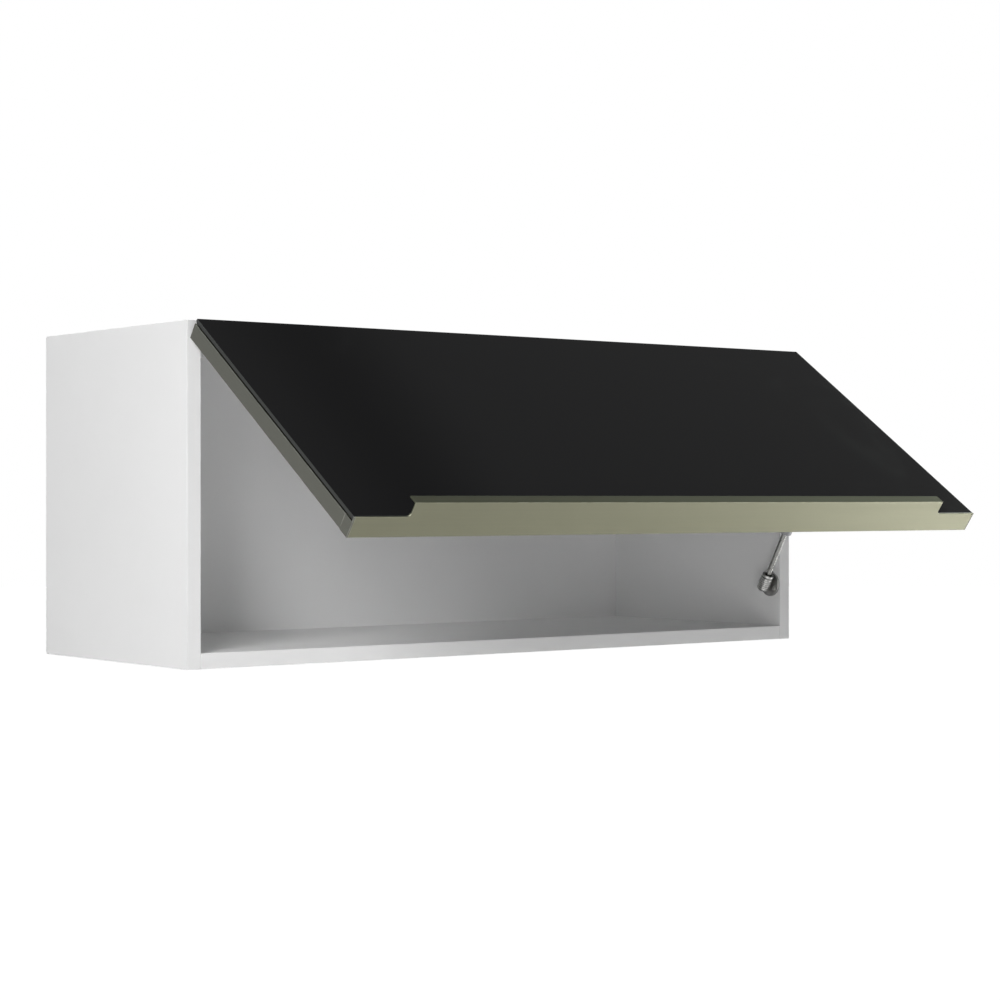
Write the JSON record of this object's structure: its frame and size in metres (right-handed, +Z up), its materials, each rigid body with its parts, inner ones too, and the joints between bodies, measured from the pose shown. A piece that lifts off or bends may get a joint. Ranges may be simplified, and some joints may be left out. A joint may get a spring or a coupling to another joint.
{
  "type": "lift up wall cabinet",
  "caption": "Wall cabinet with a framed black glass flap door that lifts on top hinges, held by a gas strut; hangs from screws through its back.",
  "frame": {"origin": "on the cabinet's back face, midway between the two wall fixing holes", "axes": "+X to the cabinet's right as seen from the front, +Y towards the wall, +Z up; the door opens towards -Y"},
  "size_m": [0.8, 0.5789, 0.3318],
  "materials": {
    "board_white": "white melamine-faced particle board, matt",
    "band_white": "white plastic edge band, matt",
    "zinc_steel": "zinc plated, dull",
    "dowel_wood": "plain beech",
    "hinge_nickel": "nickel plated",
    "frame_champagne": "brushed and anodised, champagne",
    "handle_champagne": "brushed and anodised, champagne",
    "glass_black": "black back-painted glass, gloss",
    "tape_black": "black foam tape",
    "bumper_clear": "clear soft bumper",
    "tube_gray": "gray lacquer, satin",
    "rod_chrome": "ground and chromed",
    "socket_zinc": "ribbed, zinc plated",
    "base_steel": "dark zinc plated"
  },
  "bodies": {
    "cabinet": {"left_side_panel": "board_white", "right_side_panel": "board_white", "top_panel": "board_white", "bottom_panel": "board_white", "back_panel": "board_white", "left_edge_band": "band_white", "right_edge_band": "band_white", "top_edge_band": "band_white", "bottom_edge_band": "band_white", "cam_locks": "zinc_steel", "cam_bolts": "zinc_steel", "back_panel_nails": "zinc_steel", "wall_bracket_left": "zinc_steel", "wall_bracket_right": "zinc_steel", "wall_bracket_screws": "zinc_steel", "joint_dowels": "dowel_wood", "hinge_plate_left": "hinge_nickel", "hinge_plate_right": "hinge_nickel", "hinge_plate_screws": "hinge_nickel", "hinge_arm_left": "hinge_nickel", "hinge_arm_right": "hinge_nickel", "hinge_arm_screws": "hinge_nickel", "strut_base_screws": "socket_zinc", "strut_base": "base_steel"},
    "door": {"top_rail": "frame_champagne", "left_stile": "frame_champagne", "right_stile": "frame_champagne", "handle_rail": "handle_champagne", "handle_cap_left": "frame_champagne", "handle_cap_right": "frame_champagne", "top_corner_keys": "zinc_steel", "bottom_corner_keys": "zinc_steel", "corner_key_screws": "zinc_steel", "glass_panel": "glass_black", "glass_tape": "tape_black", "door_bumpers": "bumper_clear", "strut_bracket": "socket_zinc", "strut_bracket_screws": "socket_zinc", "hinge_cup_left": "hinge_nickel", "hinge_cup_right": "hinge_nickel", "hinge_cup_screws": "hinge_nickel", "hinge_pin_left": "hinge_nickel", "hinge_pin_right": "hinge_nickel"},
    "strut_rod_end": {"strut_lower_socket": "socket_zinc", "strut_rod": "rod_chrome", "strut_piston": "base_steel"},
    "strut_tube_end": {"strut_tube": "tube_gray", "strut_gland": "base_steel", "strut_end_plug": "base_steel", "strut_upper_socket": "socket_zinc"}
  },
  "joints": [
    {"name": "door_lift", "type": "hinge", "parent": "cabinet", "child": "door", "pos_m": [0, -0.3037, 0.028], "axis": [-1, 0, 0], "range_deg": [-54.83, 0]},
    {"name": "strut_swing", "type": "hinge", "parent": "cabinet", "child": "strut_rod_end", "pos_m": [0.3746, -0.2782, -0.2283], "axis": [1, 0, 0], "range_deg": [-30.68, 0]},
    {"name": "strut_extend", "type": "slide", "parent": "strut_rod_end", "child": "strut_tube_end", "axis": [0, -0.4876, 0.8731], "range_m": [-0.04588, 0]}
  ],
  "couplings": [
    {"joint": "strut_swing", "follows": "door_lift", "ratio": 0.55939},
    {"joint": "strut_extend", "follows": "door_lift", "m_per_rad": 0.047931}
  ]
}
